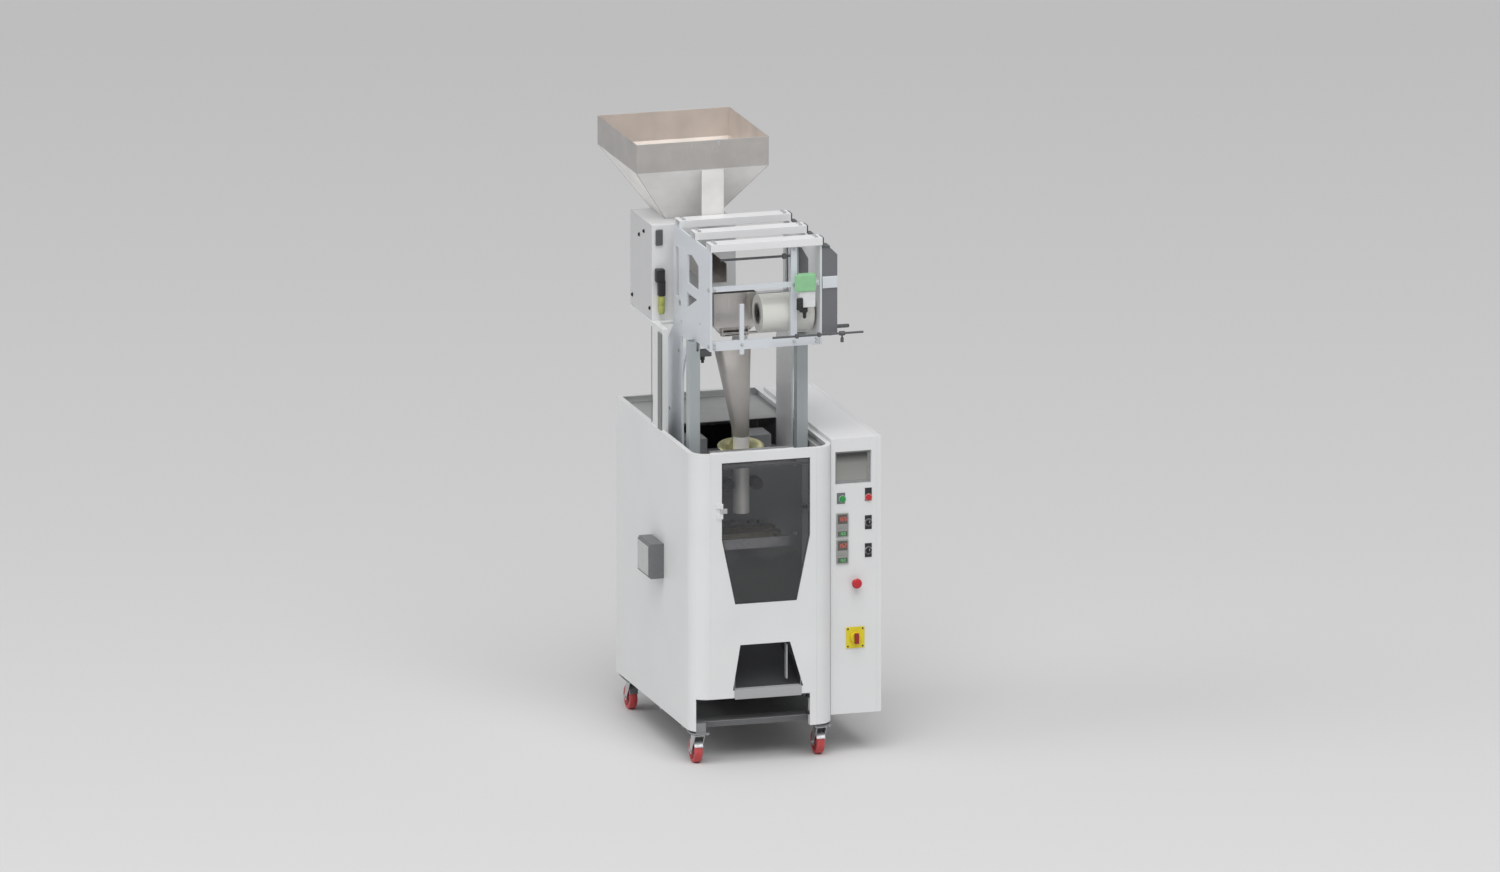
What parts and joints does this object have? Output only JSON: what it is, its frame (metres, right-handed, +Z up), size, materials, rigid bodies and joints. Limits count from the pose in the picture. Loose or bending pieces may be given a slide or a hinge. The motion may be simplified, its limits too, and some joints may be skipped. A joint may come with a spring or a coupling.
{
  "type": "vertical form fill sealer",
  "caption": "Vertical form fill sealer: wheeled cabinet with a viewing window and bag chute, film and weigher tower, vibratory feeder with a square hopper, and a side control cabinet.",
  "frame": {"origin": "on the floor, below the middle of the machine's bounding box", "axes": "+Z up, +Y from the front with the window towards the rear, +X towards the control cabinet"},
  "size_m": [0.8568, 1.0866, 2.376],
  "materials": {
    "white_paint": "satin white powder coat",
    "tower_paint": "satin bluish white powder coat",
    "grey_paint": "satin mid grey powder coat",
    "dark_machinery": "matt dark grey paint",
    "stainless": "fine brushed stainless",
    "zinc": "zinc plated",
    "brass": "pale satin brass",
    "tinted_pane": "clear, lightly tinted sheet",
    "roller_rubber": "matt black",
    "red_tyre": "satin red",
    "film": "white film on a roll",
    "black_plastic": "matt black",
    "screen": "gloss dark grey",
    "green_plastic": "gloss green",
    "red_plastic": "gloss red",
    "yellow_plastic": "satin yellow"
  },
  "bodies": {
    "machine": {"base_frame": "dark_machinery", "left_side_panel": "white_paint", "right_side_panel": "white_paint", "front_panel": "white_paint", "rear_panel": "white_paint", "top_deck": "white_paint", "inner_back_plate": "dark_machinery", "discharge_chute": "grey_paint", "junction_box": "grey_paint", "forming_plate": "dark_machinery", "forming_collar": "brass", "forming_tube": "stainless", "product_funnel": "stainless", "jaw_guides": "zinc", "left_tower_plate": "tower_paint", "right_tower_plate": "tower_paint", "front_top_bar": "white_paint", "middle_top_bar": "white_paint", "rear_top_bar": "white_paint", "front_frame": "tower_paint", "left_post": "grey_paint", "right_post": "grey_paint", "side_duct": "grey_paint", "roll_shaft": "dark_machinery", "weigh_beam": "grey_paint", "weigh_bucket": "stainless", "feeder_stand": "white_paint", "feeder_housing": "white_paint", "vibrator_drive": "dark_machinery", "hopper": "stainless", "control_enclosure": "white_paint", "touch_screen": "screen", "upper_temperature_controller": "black_plastic", "lower_temperature_controller": "black_plastic", "isolator_plate": "yellow_plastic"},
    "guide_roller": {"guide_roller": "stainless"},
    "left_pull_roller": {"left_pull_roller": "roller_rubber"},
    "right_pull_roller": {"right_pull_roller": "roller_rubber"},
    "vertical_seal_bar": {"vertical_seal_bar": "brass"},
    "front_jaw": {"front_jaw": "brass"},
    "rear_jaw": {"rear_jaw": "brass"},
    "film_roll": {"film_roll": "film"},
    "bucket_flap": {"bucket_flap": "stainless"},
    "feeder_trough": {"feeder_trough": "stainless"},
    "window_door": {"window_door": "tinted_pane"},
    "control_door": {"control_door": "white_paint"},
    "start_button": {"start_button": "green_plastic"},
    "stop_button": {"stop_button": "red_plastic"},
    "upper_selector": {"upper_selector": "black_plastic"},
    "lower_selector": {"lower_selector": "black_plastic"},
    "emergency_stop": {"emergency_stop": "red_plastic"},
    "isolator_knob": {"isolator_knob": "red_plastic"},
    "front_left_fork": {"front_left_fork": "zinc"},
    "front_left_wheel": {"front_left_wheel": "red_tyre"},
    "front_right_fork": {"front_right_fork": "zinc"},
    "front_right_wheel": {"front_right_wheel": "red_tyre"},
    "rear_left_fork": {"rear_left_fork": "zinc"},
    "rear_left_wheel": {"rear_left_wheel": "red_tyre"},
    "rear_right_fork": {"rear_right_fork": "zinc"},
    "rear_right_wheel": {"rear_right_wheel": "red_tyre"}
  },
  "joints": [
    {"name": "guide_roller_spin", "type": "hinge", "parent": "machine", "child": "guide_roller", "pos_m": [-0.0709, -0.35225, 1.202], "axis": [1, 0, 0], "continuous": true},
    {"name": "left_pull_roller_spin", "type": "hinge", "parent": "machine", "child": "left_pull_roller", "pos_m": [-0.1289, -0.21625, 1.05], "axis": [0, 1, 0], "continuous": true},
    {"name": "right_pull_roller_spin", "type": "hinge", "parent": "machine", "child": "right_pull_roller", "pos_m": [-0.0129, -0.21625, 1.05], "axis": [0, 1, 0], "continuous": true},
    {"name": "seal_bar_slide", "type": "slide", "parent": "machine", "child": "vertical_seal_bar", "axis": [0, -1, 0], "range_m": [0, 0.0097]},
    {"name": "rear_jaw_slide", "type": "slide", "parent": "machine", "child": "rear_jaw", "axis": [0, -1, 0], "range_m": [0, 0.0197]},
    {"name": "front_jaw_slide", "type": "slide", "parent": "machine", "child": "front_jaw", "axis": [0, 1, 0], "range_m": [0, 0.0197]},
    {"name": "film_roll_spin", "type": "hinge", "parent": "machine", "child": "film_roll", "pos_m": [0.0551, -0.36925, 1.764], "axis": [1, 0, 0], "continuous": true},
    {"name": "flap_hinge", "type": "hinge", "parent": "machine", "child": "bucket_flap", "pos_m": [-0.1149, -0.27825, 1.668], "axis": [-1, 0, 0], "range_deg": [0, 40], "stiffness_Nm_per_rad": 0.6, "springref_deg": -34.38},
    {"name": "trough_vibration", "type": "slide", "parent": "machine", "child": "feeder_trough", "axis": [0, 1, 0], "range_m": [-0.0015, 0.0015], "stiffness_N_per_m": 20000},
    {"name": "window_hinge", "type": "hinge", "parent": "machine", "child": "window_door", "pos_m": [-0.2419, -0.53025, 1.022], "axis": [0, 0, -1], "range_deg": [0, 110]},
    {"name": "control_door_hinge", "type": "hinge", "parent": "machine", "child": "control_door", "pos_m": [0.4184, 0.45675, 0.7115], "axis": [0, 0, 1], "range_deg": [0, 110]},
    {"name": "start_button_press", "type": "slide", "parent": "machine", "child": "start_button", "axis": [0, 1, 0], "range_m": [0, 0.003], "stiffness_N_per_m": 500},
    {"name": "stop_button_press", "type": "slide", "parent": "machine", "child": "stop_button", "axis": [0, 1, 0], "range_m": [0, 0.003], "stiffness_N_per_m": 500},
    {"name": "upper_selector_turn", "type": "hinge", "parent": "machine", "child": "upper_selector", "pos_m": [0.3714, -0.46425, 0.922], "axis": [0, 1, 0], "range_deg": [-45, 45]},
    {"name": "lower_selector_turn", "type": "hinge", "parent": "machine", "child": "lower_selector", "pos_m": [0.3714, -0.46425, 0.81], "axis": [0, 1, 0], "range_deg": [-45, 45]},
    {"name": "emergency_stop_press", "type": "slide", "parent": "machine", "child": "emergency_stop", "axis": [0, 1, 0], "range_m": [0, 0.005]},
    {"name": "isolator_turn", "type": "hinge", "parent": "machine", "child": "isolator_knob", "pos_m": [0.3184, -0.46425, 0.464], "axis": [0, 1, 0], "range_deg": [0, 90]},
    {"name": "front_left_swivel", "type": "hinge", "parent": "machine", "child": "front_left_fork", "pos_m": [-0.3189, -0.46225, 0.118], "axis": [0, 0, 1], "continuous": true},
    {"name": "front_left_roll", "type": "hinge", "parent": "front_left_fork", "child": "front_left_wheel", "pos_m": [-0.3189, -0.42725, 0.04938], "axis": [1, 0, 0], "continuous": true},
    {"name": "front_right_swivel", "type": "hinge", "parent": "machine", "child": "front_right_fork", "pos_m": [0.1771, -0.46225, 0.118], "axis": [0, 0, 1], "continuous": true},
    {"name": "front_right_roll", "type": "hinge", "parent": "front_right_fork", "child": "front_right_wheel", "pos_m": [0.1771, -0.42725, 0.04938], "axis": [1, 0, 0], "continuous": true},
    {"name": "rear_left_swivel", "type": "hinge", "parent": "machine", "child": "rear_left_fork", "pos_m": [-0.3189, 0.43475, 0.118], "axis": [0, 0, 1], "continuous": true},
    {"name": "rear_left_roll", "type": "hinge", "parent": "rear_left_fork", "child": "rear_left_wheel", "pos_m": [-0.3189, 0.46975, 0.04938], "axis": [1, 0, 0], "continuous": true},
    {"name": "rear_right_swivel", "type": "hinge", "parent": "machine", "child": "rear_right_fork", "pos_m": [0.1771, 0.43475, 0.118], "axis": [0, 0, 1], "continuous": true},
    {"name": "rear_right_roll", "type": "hinge", "parent": "rear_right_fork", "child": "rear_right_wheel", "pos_m": [0.1771, 0.46975, 0.04938], "axis": [1, 0, 0], "continuous": true}
  ],
  "couplings": [
    {"joint": "right_pull_roller_spin", "follows": "left_pull_roller_spin", "ratio": -1},
    {"joint": "front_jaw_slide", "follows": "rear_jaw_slide", "ratio": 1}
  ]
}
